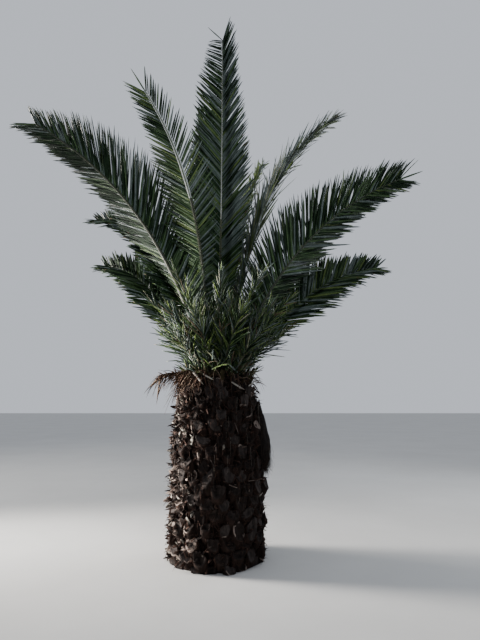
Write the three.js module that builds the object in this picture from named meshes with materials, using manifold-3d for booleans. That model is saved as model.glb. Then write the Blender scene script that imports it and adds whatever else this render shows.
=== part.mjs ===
// A date palm: a stout trunk clad in old cut frond bases, under a crown of feather fronds.
// Millimetres, +Z up. The origin is the centre of the flat cut where the trunk meets the ground.
// Headings are measured from +X towards +Y, in degrees.
import * as THREE from 'three';
import Module from 'manifold-3d';

const wasm = await Module();
wasm.setup();

// Trunk sizes
const TRUNK_HEIGHT = 1660;
const FOOT_RADIUS = 470;
const TRUNK_TAPER = 25;
const SHOULDER_DROP = 75;
const SHOULDER_POWER = 5;
const BOOTS_ROUND = 17;
const BOOT_ROWS = 15;
const BOOT_DEPTH = 70;
const BOOT_SHEAR = 0.56;
const BOOT_FACE_SHARE = 0.52;
const BOOT_LIFT = 34;
const BOOT_LIP = [0, 9, 36, 9];
const BOOT_UNEVENNESS = 14;
const HEART_RINGS = [[255, 1712], [175, 1768], [80, 1806]];
const HEART_TOP = 1822;
const SEAM = 0.3;

// Frond sizes
const ROOT_HEIGHT = 1800;
const ROOT_SLOPE = 0.5;
const RACHIS_STATIONS = [0, 0.12, 0.5, 1];
const RACHIS_WIDTHS = [52, 38, 18, 8];
const RACHIS_DEPTHS = [32, 26, 16, 8];
const PETIOLE_RINGS = 2;
const PATH_STEPS = 120;
const TWIST_SHARE = 0.35;
const SPLIT_ARCH = 45;
const SPLIT_SHARE = 0.55;

// Leaflet sizes along the leafy part of a frond, from 0 to 1
const SPINE_SHARE = 0.22;
const FULL_LEAFLET_AT = 0.36;
const TIP_SHARE = 0.56;
const TIP_FADE = 1.5;
const LOW_FADE = 2;
const SPLAY_STATIONS = [0, 0.45, 1];
const SPLAY_ANGLES = [64, 45, 28];
const RANK_LIFTS = [0.16, 0.46, 0.3];
const LOW_LIFT = 0.3;
const LIFT_TRIES = [0, 0.28, 0.6, -0.2];
const LENGTH_TRIES = [1, 0.75, 0.5, 0.3];
const LEAFLET_CLEARANCE = 2;
const CROWN_FLOOR = 1860;

// Scale of the living fronds: the girth of the rachis, the bare petiole's length, the leaflets'
// pitch and the shortest leaflet that is kept
const GREEN_SCALE = { dry: false, girth: 1, petiole: 230, pitch: 57, shortest: 45 };

// A frond has its seat on the crown's heart, [radius, heading], its own heading, how steeply it
// rises, how far it has arched over at its tip and how late, its drift in heading, its twist, its
// length and the length of its longest leaflets.
const GREEN_FRONDS = [
  ['left_long', [130, 178], 178, 77, 46, 1.1, 1, 58, 3460, 640],
  ['left_upright', [100, 212], 208, 87, 34, 1.9, -2, 62, 2980, 480],
  ['centre_tall', [40, 90], 87, 82, 0, 1.8, 7, 0, 4290, 520],
  ['left_drooping', [150, 150], 146, 73, 63, 1.5, -3, -50, 2940, 430],
  ['left_low', [210, 142], 141, 57, 48, 1.6, -5, -50, 2540, 460],
  ['right_behind', [100, 62], 73, 74, 32, 1.5, 0, -55, 3620, 440],
  ['right_tall', [90, 15], 35, 81, 44, 1.5, 0, -15, 3910, 440],
  ['right_long', [150, 355], 9, 72, 48, 1.1, 3, -68, 3080, 600],
  ['right_low', [210, 18], 35, 54, 42, 1.1, 0, 60, 2750, 500],
  ['centre_behind', [90, 115], 105, 71, 3, 1.8, -11, 0, 3900, 520],
  ['back_left', [150, 122], 128, 62, 42, 1.5, 0, 20, 2700, 440],
  ['back_middle', [150, 93], 94, 60, 38, 1.5, 0, 0, 2900, 440],
  ['back_right', [155, 38], 52, 57, 40, 1.5, 0, -20, 2600, 440],
  ['back_low_left', [210, 115], 117, 48, 42, 1.4, 0, 20, 2450, 420],
  ['back_low_middle', [210, 88], 90, 47, 40, 1.4, 0, 0, 2600, 420],
  ['back_low_right', [210, 58], 62, 49, 42, 1.4, 0, -20, 2450, 420],
  ['left_short', [200, 192], 205, 70, 30, 1.4, 0, 30, 1050, 240],
  ['front_left_short', [170, 230], 238, 76, 30, 1.5, 0, 20, 1250, 260],
  ['front_short', [130, 272], 272, 80, 24, 1.5, 0, 0, 1150, 240],
  ['front_right_short', [170, 315], 312, 74, 30, 1.5, 0, -20, 1250, 260],
  ['right_short', [210, 340], 338, 66, 32, 1.4, 0, -30, 1100, 240],
];

// A small dead frond droops from the rim of the trunk
const DRY_FROND = ['dry_tuft', [265, 184], 186, 34, 66, 1.2, 0, 0, 330, 210];
const DRY_SCALE = { dry: true, girth: 0.5, petiole: 110, pitch: 24, shortest: 20 };

// A sheet of old dead fibre hangs down one side of the trunk
const FIBRE_HEADING = -5;
const FIBRE_HALF_ANGLE = 17;
const FIBRE_HEIGHTS = [850, 912, 1085, 1300, 1450];
const FIBRE_BULGES = [12, 55, 68, 32, 8];
const FIBRE_WIDTH_SHARES = [0.35, 0.7, 1, 0.8, 0.35];
const FIBRE_BEDDING = 25;
const FIBRE_EDGE_SHARE = 0.6;
const FIBRE_EDGE_TURN = 0.9;

const TRUNK_SEED = 11;
const RANDOM_FACTOR = 1664525;
const RANDOM_STEP = 1013904223;
const RANDOM_RANGE = 2 ** 32;
const NEARLY_PARALLEL = 1e-6;

const { degToRad, lerp, smoothstep } = THREE.MathUtils;

// Seeded random numbers from 0 to 1
function randomFrom(seed) {
  let state = seed;
  return () => {
    state = (state * RANDOM_FACTOR + RANDOM_STEP) % RANDOM_RANGE;
    return state / RANDOM_RANGE;
  };
}

// The value at t of a line through the given stations
function valueAlong(stations, values, t) {
  const next = Math.max(1, stations.findIndex((station) => station >= t));
  const share = (t - stations[next - 1]) / (stations[next] - stations[next - 1]);
  return lerp(values[next - 1], values[next], share);
}

function onCylinder(radius, angle, height) {
  return new THREE.Vector3(radius * Math.cos(angle), radius * Math.sin(angle), height);
}

// A closed shell that is built up face by face, each face turning left seen from outside
class Shell {
  constructor() {
    this.points = [];
    this.faces = [];
  }

  point(vector) {
    this.points.push(vector.x, vector.y, vector.z);
    return this.points.length / 3 - 1;
  }

  ring(vectors) {
    return vectors.map((vector) => this.point(vector));
  }

  quad(a, b, c, d) {
    this.faces.push(a, b, c, a, c, d);
  }

  // Triangles from an edge loop to one point
  peak(loop, top) {
    loop.forEach((corner, i) => this.faces.push(corner, loop[(i + 1) % loop.length], top));
  }

  // A flat lid over an edge loop
  lid(loop) {
    for (let i = 1; i < loop.length - 1; i += 1) {
      this.faces.push(loop[0], loop[i], loop[i + 1]);
    }
  }

  solid() {
    return new wasm.Manifold(new wasm.Mesh({
      numProp: 3,
      vertProperties: new Float32Array(this.points),
      triVerts: new Uint32Array(this.faces),
    }));
  }
}

function geometryOf(solid) {
  const mesh = solid.getMesh();
  const geometry = new THREE.BufferGeometry();
  geometry.setAttribute('position', new THREE.BufferAttribute(mesh.vertProperties, 3));
  geometry.setIndex(new THREE.BufferAttribute(mesh.triVerts, 1));
  geometry.computeVertexNormals();
  return geometry;
}

function largestPiece(solid) {
  return solid.decompose().reduce((best, piece) => (piece.volume() > best.volume() ? piece : best));
}

// Trunk: the radius over the tips of the old frond bases
function trunkRadius(height) {
  const share = height / TRUNK_HEIGHT;
  return FOOT_RADIUS - TRUNK_TAPER * share - SHOULDER_DROP * share ** SHOULDER_POWER;
}

// One old frond base: a diamond of the core, raised to a smaller cut face that looks out and up
function addBoot(shell, loop, places, grow, random) {
  const centre = {
    angle: (places[1].angle + places[3].angle) / 2,
    height: (places[0].height + places[2].height) / 2,
  };
  const unevenness = BOOT_UNEVENNESS * random();
  const face = places.map((place, k) => {
    const angle = lerp(centre.angle, place.angle, BOOT_FACE_SHARE);
    const height = lerp(centre.height, place.height, BOOT_FACE_SHARE) + BOOT_LIFT;
    const radius = trunkRadius(centre.height) - BOOT_LIP[k] - unevenness + grow;
    return shell.point(onCylinder(radius, angle, height));
  });
  loop.forEach((corner, k) => {
    const next = (k + 1) % loop.length;
    shell.quad(corner, loop[next], face[next], face[k]);
  });
  shell.lid(face);
}

// The whole trunk, or a copy that is grown outwards, which cuts the seats of what stands on it
function trunkSolid(grow) {
  const shell = new Shell();
  const random = randomFrom(TRUNK_SEED);
  const rowHeight = TRUNK_HEIGHT / BOOT_ROWS;
  const place = (i, row) => ({
    angle: (2 * Math.PI * (i + BOOT_SHEAR * row)) / BOOTS_ROUND,
    height: row * rowHeight,
  });
  const grid = [];
  for (let row = 0; row <= BOOT_ROWS; row += 1) {
    const corners = [];
    for (let i = 0; i < BOOTS_ROUND; i += 1) {
      const { angle, height } = place(i, row);
      corners.push(onCylinder(trunkRadius(height) - BOOT_DEPTH + grow, angle, height));
    }
    grid.push(shell.ring(corners));
  }
  const index = (i, row) => grid[row][(i + BOOTS_ROUND) % BOOTS_ROUND];
  for (let i = 0; i < BOOTS_ROUND; i += 1) {
    shell.lid([index(i, 0), index(i + 1, 0), index(i, 1)]);
    shell.lid([index(i, BOOT_ROWS - 1), index(i, BOOT_ROWS), index(i - 1, BOOT_ROWS)]);
    for (let row = 0; row < BOOT_ROWS - 1; row += 1) {
      const steps = [[i, row], [i, row + 1], [i - 1, row + 2], [i - 1, row + 1]];
      const loop = steps.map(([column, level]) => index(column, level));
      addBoot(shell, loop, steps.map(([column, level]) => place(column, level)), grow, random);
    }
  }
  shell.lid([...grid[0]].reverse());
  let rim = grid[BOOT_ROWS];
  HEART_RINGS.forEach(([radius, height]) => {
    const angles = rim.map((_, i) => place(i, BOOT_ROWS).angle);
    const ring = shell.ring(angles.map((angle) => onCylinder(radius + grow, angle, height + grow)));
    rim.forEach((corner, i) => {
      const next = (i + 1) % rim.length;
      shell.quad(corner, rim[next], ring[next], ring[i]);
    });
    rim = ring;
  });
  shell.peak(rim, shell.point(new THREE.Vector3(0, 0, HEART_TOP + grow)));
  return shell.solid();
}

const seatCutter = trunkSolid(SEAM);

function cutClearOfTrunk(solid) {
  return largestPiece(solid.subtract(seatCutter));
}

// Fronds: direction of the rachis at share t of its length
function directionAt(frond, t) {
  const rise = degToRad(frond.rise - frond.arch * t ** frond.bend);
  const heading = degToRad(frond.heading + frond.drift * t);
  return new THREE.Vector3(
    Math.cos(rise) * Math.cos(heading),
    Math.cos(rise) * Math.sin(heading),
    Math.sin(rise),
  );
}

function pathOf(frond) {
  const [radius, heading] = frond.seat;
  const point = onCylinder(radius, degToRad(heading), ROOT_HEIGHT - ROOT_SLOPE * radius);
  const points = [point.clone()];
  for (let step = 0; step < PATH_STEPS; step += 1) {
    const direction = directionAt(frond, (step + 0.5) / PATH_STEPS);
    point.addScaledVector(direction, frond.length / PATH_STEPS);
    points.push(point.clone());
  }
  return points;
}

// Place, forward direction, upper face and side of the rachis at a distance along it
function frameAt(frond, path, distance) {
  const t = distance / frond.length;
  const step = Math.min(PATH_STEPS - 1, Math.floor(t * PATH_STEPS));
  const point = path[step].clone().lerp(path[step + 1], t * PATH_STEPS - step);
  const forward = directionAt(frond, t);
  const level = new THREE.Vector3(forward.x, forward.y, 0).normalize();
  const across = new THREE.Vector3(level.y, -level.x, 0);
  const up = across.clone().cross(forward);
  const twist = degToRad(frond.twist * smoothstep(t, 0, TWIST_SHARE));
  up.applyAxisAngle(forward, twist);
  across.applyAxisAngle(forward, twist);
  return { t, point, forward, up, across };
}

function rachisRing(frond, frame) {
  const width = frond.girth * valueAlong(RACHIS_STATIONS, RACHIS_WIDTHS, frame.t) / 2;
  const depth = frond.girth * valueAlong(RACHIS_STATIONS, RACHIS_DEPTHS, frame.t) / 2;
  const corners = [[width, depth], [-width, depth], [-width, -depth], [width, -depth]];
  return corners.map(([side, lift]) => frame.point.clone()
    .addScaledVector(frame.across, side)
    .addScaledVector(frame.up, lift));
}

function stationsOf(frond) {
  const distances = [];
  for (let i = 0; i < PETIOLE_RINGS; i += 1) {
    distances.push((i * frond.petiole) / PETIOLE_RINGS);
  }
  const pairs = Math.round((frond.length - frond.petiole) / frond.pitch);
  for (let i = 0; i <= pairs; i += 1) {
    distances.push(lerp(frond.petiole, frond.length, i / pairs));
  }
  return distances;
}

// A convex block: its corners, the box round it, and the directions that may part it from others
function blockOf(corners, edges) {
  const box = new THREE.Box3().setFromPoints(corners);
  return { corners, edges, box: box.expandByScalar(LEAFLET_CLEARANCE / 2) };
}

function reachAlong(axis, corners) {
  let low = Infinity;
  let high = -Infinity;
  corners.forEach((corner) => {
    const value = axis.dot(corner);
    low = Math.min(low, value);
    high = Math.max(high, value);
  });
  return [low, high];
}

// Two blocks are apart where some direction across an edge of each, or of one, parts them
function areApart(a, b) {
  if (!a.box.intersectsBox(b.box)) {
    return true;
  }
  const axis = new THREE.Vector3();
  const pairs = [[a.edges, b.edges], [a.edges, a.edges], [b.edges, b.edges]];
  return pairs.some(([first, second]) => first.some((p) => second.some((q) => {
    axis.crossVectors(p, q);
    if (axis.lengthSq() < NEARLY_PARALLEL) {
      return false;
    }
    axis.normalize();
    const [lowA, highA] = reachAlong(axis, a.corners);
    const [lowB, highB] = reachAlong(axis, b.corners);
    return lowB - highA > LEAFLET_CLEARANCE || lowA - highB > LEAFLET_CLEARANCE;
  })));
}

function edgeBetween(a, b) {
  return b.clone().sub(a).normalize();
}

function rachisBlock(near, far) {
  const edges = [edgeBetween(near[0], far[0]), edgeBetween(near[2], far[2])];
  edges.push(edgeBetween(near[0], near[1]), edgeBetween(near[1], near[2]));
  return blockOf([...near, ...far], edges);
}

function leafletBlock(base, tip) {
  const edges = base.map((corner) => edgeBetween(corner, tip));
  edges.push(edgeBetween(base[0], base[1]), edgeBetween(base[1], base[2]));
  return blockOf([...base, tip], edges);
}

function leafletShare(u) {
  if (u < FULL_LEAFLET_AT) {
    return lerp(SPINE_SHARE, 1, smoothstep(u, 0, FULL_LEAFLET_AT));
  }
  return lerp(1, TIP_SHARE, ((u - FULL_LEAFLET_AT) / (1 - FULL_LEAFLET_AT)) ** TIP_FADE);
}

// The first of the leaflet's lifts and lengths that keeps it clear of the other fronds
function fitLeaflet(frond, base, frame, side, u, rank, others) {
  const root = new THREE.Vector3();
  base.forEach((corner) => root.addScaledVector(corner, 1 / base.length));
  const splay = degToRad(valueAlong(SPLAY_STATIONS, SPLAY_ANGLES, u));
  const fullLength = frond.leaflet * leafletShare(u);
  const restLift = RANK_LIFTS[rank] + LOW_LIFT * (1 - u) ** LOW_FADE;
  for (const share of LENGTH_TRIES) {
    for (const extra of LIFT_TRIES) {
      const direction = frame.forward.clone().multiplyScalar(Math.cos(splay))
        .addScaledVector(frame.across, side * Math.sin(splay))
        .addScaledVector(frame.up, restLift + extra)
        .normalize();
      const length = fullLength * share;
      const tip = root.clone().addScaledVector(direction, length);
      const block = leafletBlock(base, tip);
      const inTheOpen = tip.z > CROWN_FLOOR || frond.dry;
      if (length >= frond.shortest && inTheOpen && others.every((other) => areApart(block, other))) {
        return { tip, block };
      }
    }
  }
  return null;
}

// Rings, rachis blocks and leaflets of a frond, before it is closed into solids
function layOut(frond) {
  const path = pathOf(frond);
  const distances = stationsOf(frond);
  const frames = distances.map((distance) => frameAt(frond, path, distance));
  const rings = frames.map((frame) => rachisRing(frond, frame));
  const blocks = rings.slice(1).map((ring, i) => rachisBlock(rings[i], ring));
  return { frond, path, distances, frames, rings, blocks, leaflets: new Map() };
}

// Each side of the rachis carries one leaflet between one ring and the next
const SIDES = [{ side: -1, corner: 1 }, { side: 1, corner: 3 }];

function growLeaflets(layout, others) {
  const { frond, frames, rings, distances } = layout;
  const pairs = rings.length - 1 - PETIOLE_RINGS;
  for (let pair = 0; pair < pairs; pair += 1) {
    const i = PETIOLE_RINGS + pair;
    const middle = frameAt(frond, layout.path, (distances[i] + distances[i + 1]) / 2);
    SIDES.forEach(({ side, corner }) => {
      const next = (corner + 1) % 4;
      const base = [rings[i][corner], rings[i + 1][corner], rings[i + 1][next], rings[i][next]];
      const u = (pair + 0.5) / pairs;
      const rank = (pair + (side > 0 ? 1 : 0)) % RANK_LIFTS.length;
      const leaflet = fitLeaflet(frond, base, middle, side, u, rank, others);
      if (leaflet) {
        layout.leaflets.set(`${i} ${corner}`, leaflet);
      }
    });
  }
  const end = frames[frames.length - 1];
  layout.tip = end.point.clone().addScaledVector(end.forward, frond.leaflet * TIP_SHARE);
}

// Closes the rings from first to last into one solid
function frondSolid(layout, first, last) {
  const { frond, path, distances, rings, leaflets } = layout;
  const shell = new Shell();
  const start = first === 0 ? rings[0] : rachisRing(frond, frameAt(frond, path, distances[first] + SEAM));
  let near = shell.ring(start);
  shell.lid(near);
  for (let i = first; i < last; i += 1) {
    const far = shell.ring(rings[i + 1]);
    for (let corner = 0; corner < 4; corner += 1) {
      const next = (corner + 1) % 4;
      const loop = [near[corner], far[corner], far[next], near[next]];
      const leaflet = leaflets.get(`${i} ${corner}`);
      if (leaflet) {
        shell.peak(loop, shell.point(leaflet.tip));
      } else {
        shell.quad(...loop);
      }
    }
    near = far;
  }
  const end = [...near].reverse();
  if (last === rings.length - 1) {
    shell.peak(end, shell.point(layout.tip));
  } else {
    shell.lid(end);
  }
  return shell.solid();
}

// A frond that arches over a wide gap is two solids, parted at the bend
function frondSolids(layout) {
  const last = layout.rings.length - 1;
  const { name, arch } = layout.frond;
  if (arch < SPLIT_ARCH || layout.frond.dry) {
    return [[name, cutClearOfTrunk(frondSolid(layout, 0, last))]];
  }
  const bend = Math.round(last * SPLIT_SHARE);
  return [
    [`${name}_lower`, cutClearOfTrunk(frondSolid(layout, 0, bend))],
    [`${name}_outer`, frondSolid(layout, bend, last)],
  ];
}

// The sheet of dead fibre: rings of five points, bedded among the old frond bases
function fibreSolid() {
  const shell = new Shell();
  const rings = FIBRE_HEIGHTS.map((height, row) => {
    const half = degToRad(FIBRE_HALF_ANGLE) * FIBRE_WIDTH_SHARES[row];
    const inner = trunkRadius(height) - FIBRE_BEDDING;
    const outer = trunkRadius(height) + FIBRE_BULGES[row];
    const edge = lerp(inner, outer, FIBRE_EDGE_SHARE);
    const outline = [
      [inner, -1],
      [edge, -FIBRE_EDGE_TURN],
      [outer, 0],
      [edge, FIBRE_EDGE_TURN],
      [inner, 1],
    ];
    const middle = degToRad(FIBRE_HEADING);
    return shell.ring(outline.map(([radius, share]) => onCylinder(radius, middle + half * share, height)));
  });
  shell.lid([...rings[0]].reverse());
  for (let row = 1; row < rings.length; row += 1) {
    const below = rings[row - 1];
    const above = rings[row];
    below.forEach((corner, k) => {
      const next = (k + 1) % below.length;
      shell.quad(corner, below[next], above[next], above[k]);
    });
  }
  shell.lid(rings[rings.length - 1]);
  return cutClearOfTrunk(shell.solid());
}

function frondFrom([name, seat, heading, rise, arch, bend, drift, twist, length, leaflet], extra) {
  const shape = { seat, heading, rise, arch, bend, drift, twist, length, leaflet };
  return { name, ...shape, ...extra };
}

function material(color, roughness) {
  return new THREE.MeshStandardMaterial({ color, roughness, metalness: 0 });
}

const trunkMaterial = material(0x57473a, 0.95);
const greenMaterial = material(0x46603a, 0.55);
const dryMaterial = material(0x6a4c38, 0.95);
const fibreMaterial = material(0x2c2622, 0.9);

const palm = new THREE.Group();

function addMesh(name, solid, meshMaterial) {
  const mesh = new THREE.Mesh(geometryOf(solid), meshMaterial);
  mesh.name = name;
  palm.add(mesh);
}

addMesh('trunk', trunkSolid(0), trunkMaterial);
addMesh('hanging_fibre', fibreSolid(), fibreMaterial);

const layouts = GREEN_FRONDS.map((row) => layOut(frondFrom(row, GREEN_SCALE)));
layouts.push(layOut(frondFrom(DRY_FROND, DRY_SCALE)));

// Leaflets grow frond by frond, clear of every other rachis and of the leaflets already grown
const grown = [];
layouts.forEach((layout) => {
  const rachises = layouts.filter((other) => other !== layout).flatMap((other) => other.blocks);
  growLeaflets(layout, [...rachises, ...grown]);
  layout.leaflets.forEach((leaflet) => grown.push(leaflet.block));
});

layouts.forEach((layout) => {
  const meshMaterial = layout.frond.dry ? dryMaterial : greenMaterial;
  frondSolids(layout).forEach(([name, solid]) => {
    addMesh(layout.frond.dry ? name : `frond_${name}`, solid, meshMaterial);
  });
});

export default palm;
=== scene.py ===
"""A trimmed date palm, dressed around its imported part. Metres, +Z up, the camera looks along +Y."""
import math

import bpy
import numpy as np
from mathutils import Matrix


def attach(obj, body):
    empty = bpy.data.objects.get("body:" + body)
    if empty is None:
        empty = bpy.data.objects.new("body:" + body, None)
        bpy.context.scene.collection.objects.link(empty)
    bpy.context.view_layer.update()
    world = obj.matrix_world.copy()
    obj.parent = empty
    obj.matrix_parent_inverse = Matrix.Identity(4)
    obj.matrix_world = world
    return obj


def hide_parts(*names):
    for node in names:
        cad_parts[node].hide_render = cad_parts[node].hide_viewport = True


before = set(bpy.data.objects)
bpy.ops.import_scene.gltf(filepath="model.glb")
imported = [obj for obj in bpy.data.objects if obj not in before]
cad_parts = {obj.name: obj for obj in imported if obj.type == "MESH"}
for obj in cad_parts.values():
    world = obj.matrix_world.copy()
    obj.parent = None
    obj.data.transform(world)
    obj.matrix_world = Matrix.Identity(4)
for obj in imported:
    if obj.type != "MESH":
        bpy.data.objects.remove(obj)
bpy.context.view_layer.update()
BODY = "root"

# ---- Sizes shared with the solids
TRUNK_HEIGHT = 1.660
FOOT_RADIUS = 0.470
TRUNK_TAPER = 0.025
SHOULDER_DROP = 0.075
SHOULDER_POWER = 5
BOOTS_ROUND = 17
BOOT_ROWS = 15
BOOT_SHEAR = 0.56
BOOT_DEPTH = 0.070
HEART_PROFILE = [(0.300, 1.660), (0.255, 1.712), (0.175, 1.768), (0.080, 1.806), (0.0, 1.822)]

ROOT_HEIGHT = 1.800
ROOT_SLOPE = 0.5
RACHIS_STATIONS = [0, 0.12, 0.5, 1]
RACHIS_WIDTHS = [0.052, 0.038, 0.018, 0.008]
RACHIS_DEPTHS = [0.032, 0.026, 0.016, 0.008]
PATH_STEPS = 120
TWIST_SHARE = 0.35
SPINE_SHARE = 0.22
FULL_LEAFLET_AT = 0.36
TIP_SHARE = 0.56
TIP_FADE = 1.5
SPLAY_STATIONS = [0, 0.45, 1]
SPLAY_ANGLES = [64, 45, 28]
RANK_LIFTS = np.array([0.16, 0.46, 0.30])
LOW_LIFT = 0.3
CROWN_FLOOR = 1.860
GREEN_PETIOLE = 0.230
DRY_PETIOLE = 0.110

# name, seat radius, seat heading, heading, rise, arch, bend, drift, twist, length, longest leaflet
FRONDS = {
    "left_long": (0.130, 178, 178, 77, 46, 1.1, 1, 58, 3.460, 0.640),
    "left_upright": (0.100, 212, 208, 87, 34, 1.9, -2, 62, 2.980, 0.480),
    "centre_tall": (0.040, 90, 87, 82, 0, 1.8, 7, 0, 4.290, 0.520),
    "left_drooping": (0.150, 150, 146, 73, 63, 1.5, -3, -50, 2.940, 0.430),
    "left_low": (0.210, 142, 141, 57, 48, 1.6, -5, -50, 2.540, 0.460),
    "right_behind": (0.100, 62, 73, 74, 32, 1.5, 0, -55, 3.620, 0.440),
    "right_tall": (0.090, 15, 35, 81, 44, 1.5, 0, -15, 3.910, 0.440),
    "right_long": (0.150, 355, 9, 72, 48, 1.1, 3, -68, 3.080, 0.600),
    "right_low": (0.210, 18, 35, 54, 42, 1.1, 0, 60, 2.750, 0.500),
    "centre_behind": (0.090, 115, 105, 71, 3, 1.8, -11, 0, 3.900, 0.520),
    "back_left": (0.150, 122, 128, 62, 42, 1.5, 0, 20, 2.700, 0.440),
    "back_middle": (0.150, 93, 94, 60, 38, 1.5, 0, 0, 2.900, 0.440),
    "back_right": (0.155, 38, 52, 57, 40, 1.5, 0, -20, 2.600, 0.440),
    "back_low_left": (0.210, 115, 117, 48, 42, 1.4, 0, 20, 2.450, 0.420),
    "back_low_middle": (0.210, 88, 90, 47, 40, 1.4, 0, 0, 2.600, 0.420),
    "back_low_right": (0.210, 58, 62, 49, 42, 1.4, 0, -20, 2.450, 0.420),
    "left_short": (0.200, 192, 205, 70, 30, 1.4, 0, 30, 1.050, 0.240),
    "front_left_short": (0.170, 230, 238, 76, 30, 1.5, 0, 20, 1.250, 0.260),
    "front_short": (0.130, 272, 272, 80, 24, 1.5, 0, 0, 1.150, 0.240),
    "front_right_short": (0.170, 315, 312, 74, 30, 1.5, 0, -20, 1.250, 0.260),
    "right_short": (0.210, 340, 338, 66, 32, 1.4, 0, -30, 1.100, 0.240),
}
DRY_FROND = (0.265, 184, 186, 34, 66, 1.2, 0, 0, 0.330, 0.210)

FIBRE_HEADING = -5
FIBRE_HALF_ANGLE = 17
FIBRE_HEIGHTS = [0.850, 0.912, 1.085, 1.300, 1.450]
FIBRE_BULGES = [0.012, 0.055, 0.068, 0.032, 0.008]
FIBRE_WIDTH_SHARES = [0.35, 0.7, 1, 0.8, 0.35]

# ---- Sizes of the finer work
LEAFLET_PITCHES = [0.013, 0.015, 0.020]
CLOSE_PITCHES = [0.0085, 0.0090, 0.0105]
EVEN_PITCHES = [0.011, 0.0125, 0.018]
OPEN_PITCHES = [0.011, 0.0125, 0.026]
SHORT_PITCHES = [0.012, 0.015, 0.021]
LEAFLET_WIDTH = 0.032
SHORT_WIDTH = 0.015
LEAFLET_RINGS = 7
COARSE_RINGS = 5
LEAFLET_FOLD = [40, 22, 16]
LEAFLET_DROOP = 0.03
LEAFLET_TURN = 0.15
BLADE_THICKNESS = 0.0028
BROWN_TIPS = 0.10
SPINE_PITCH = 0.013
SHORT_PETIOLE = 0.10
TUFT_SHARE = 0.92
# Nothing green comes nearer to the camera, or lower on the trunk, than this
FRONT_REACH = -0.72
LEAF_FLOOR = CROWN_FLOOR - 0.04
FLOOR_CLEARANCE = 0.002

rng = np.random.default_rng(7)
UP = np.array([0, 0, 1.0])


def unit(v):
    return v / np.maximum(np.linalg.norm(v, axis=-1, keepdims=True), 1e-9)


def square_to(v, axis):
    """The part of v at right angles to a unit axis, as a unit vector."""
    return unit(v - axis * (v * axis).sum(-1, keepdims=True))


def smoothstep(x, low, high):
    s = np.clip((np.asarray(x, float) - low) / (high - low), 0, 1)
    return s * s * (3 - 2 * s)


def trunk_radius(height):
    share = np.asarray(height, float) / TRUNK_HEIGHT
    return FOOT_RADIUS - TRUNK_TAPER * share - SHOULDER_DROP * share**SHOULDER_POWER


def circle(count):
    """Even angles once round."""
    return 2 * np.pi * np.arange(count) / count


def on_cylinder(radius, angle, height):
    radius, angle, height = np.broadcast_arrays(radius, angle, height)
    return np.stack([radius * np.cos(angle), radius * np.sin(angle), height], -1)


def rotated(v, axis, angle):
    """v turned about a unit axis."""
    c, s = np.cos(angle)[..., None], np.sin(angle)[..., None]
    return v * c + np.cross(axis, v) * s + axis * (v * axis).sum(-1, keepdims=True) * (1 - c)


def keep_above(points, lowest):
    points[..., 2] = np.maximum(points[..., 2], lowest)


NOISE_SIZE = 32
noise_table = np.random.default_rng(3).random((NOISE_SIZE,) * 3)


def noise(points, size):
    """Smooth noise from -1 to 1, with features of the given size."""
    p = np.asarray(points, float) / size
    cell = np.floor(p).astype(int)
    f = p - cell
    f = f * f * (3 - 2 * f)
    total = 0
    for corner in np.ndindex(2, 2, 2):
        x, y, z = np.moveaxis((cell + corner) % NOISE_SIZE, -1, 0)
        total = total + np.where(corner, f, 1 - f).prod(-1) * noise_table[x, y, z]
    return total * 2 - 1


# ---- Meshes gathered from many like parts
def placed(name, data):
    """A new object in the scene."""
    thing = bpy.data.objects.new(name, data)
    bpy.context.scene.collection.objects.link(thing)
    return thing


class Batch:
    """Rows of like parts that become one mesh. Every face has a place in the list of materials."""

    def __init__(self):
        self.rows = []
        self.count = 0

    def add(self, points, quads, triangles, quad_slots, triangle_slots=None):
        """points is (parts, corners, 3), and the faces count within one part. Slots are per part and
        face, or fewer where they repeat. Without slots of their own, triangles take the quads'."""
        if triangle_slots is None:
            triangle_slots = quad_slots
        parts, corners = points.shape[:2]
        start = self.count + np.arange(parts)[:, None, None] * corners
        self.rows.append((
            points.reshape(-1, 3), (start + quads).reshape(-1, 4), (start + triangles).reshape(-1, 3),
            np.broadcast_to(quad_slots, (parts, len(quads))).ravel(),
            np.broadcast_to(triangle_slots, (parts, len(triangles))).ravel(),
        ))
        self.count += parts * corners

    def finish(self, name, materials, nodes=()):
        """One piece of the palm, which may replace nodes of the solids."""
        points, quads, triangles, *slots = (np.concatenate(column) for column in zip(*self.rows))
        mesh = bpy.data.meshes.new(name)
        mesh.vertices.add(len(points))
        mesh.vertices.foreach_set("co", points.astype(np.float32).ravel())
        loops = np.concatenate([quads.ravel(), triangles.ravel()]).astype(np.int32)
        sizes = np.repeat([4, 3], [len(quads), len(triangles)]).astype(np.int32)
        starts = np.concatenate([[0], np.cumsum(sizes)[:-1]]).astype(np.int32)
        mesh.loops.add(len(loops))
        mesh.loops.foreach_set("vertex_index", loops)
        mesh.polygons.add(len(sizes))
        mesh.polygons.foreach_set("loop_start", starts)
        mesh.polygons.foreach_set("loop_total", sizes)
        mesh.polygons.foreach_set("material_index", np.concatenate(slots).astype(np.int32))
        mesh.polygons.foreach_set("use_smooth", np.full(len(sizes), True))
        for material in materials:
            mesh.materials.append(material)
        mesh.update(calc_edges=True)
        mesh.validate()
        print(name, "triangles", 2 * len(quads) + len(triangles))
        piece = placed(name, mesh)
        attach(piece, BODY)
        if nodes:
            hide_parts(*nodes)


def tube_faces(rings, around):
    """Quads round a tube of closed rings."""
    k = np.arange(around)
    after = (k + 1) % around
    ring = np.stack([k, after, after + around, k + around], 1)
    return (np.arange(rings - 1)[:, None, None] * around + ring).reshape(-1, 4)


def fan(start, around, tip, inward=False):
    """Triangles from a closed ring to a point."""
    k = start + np.arange(around)
    after = start + (np.arange(around) + 1) % around
    return np.stack([after if inward else k, k if inward else after, np.full(around, tip)], 1)


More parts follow.
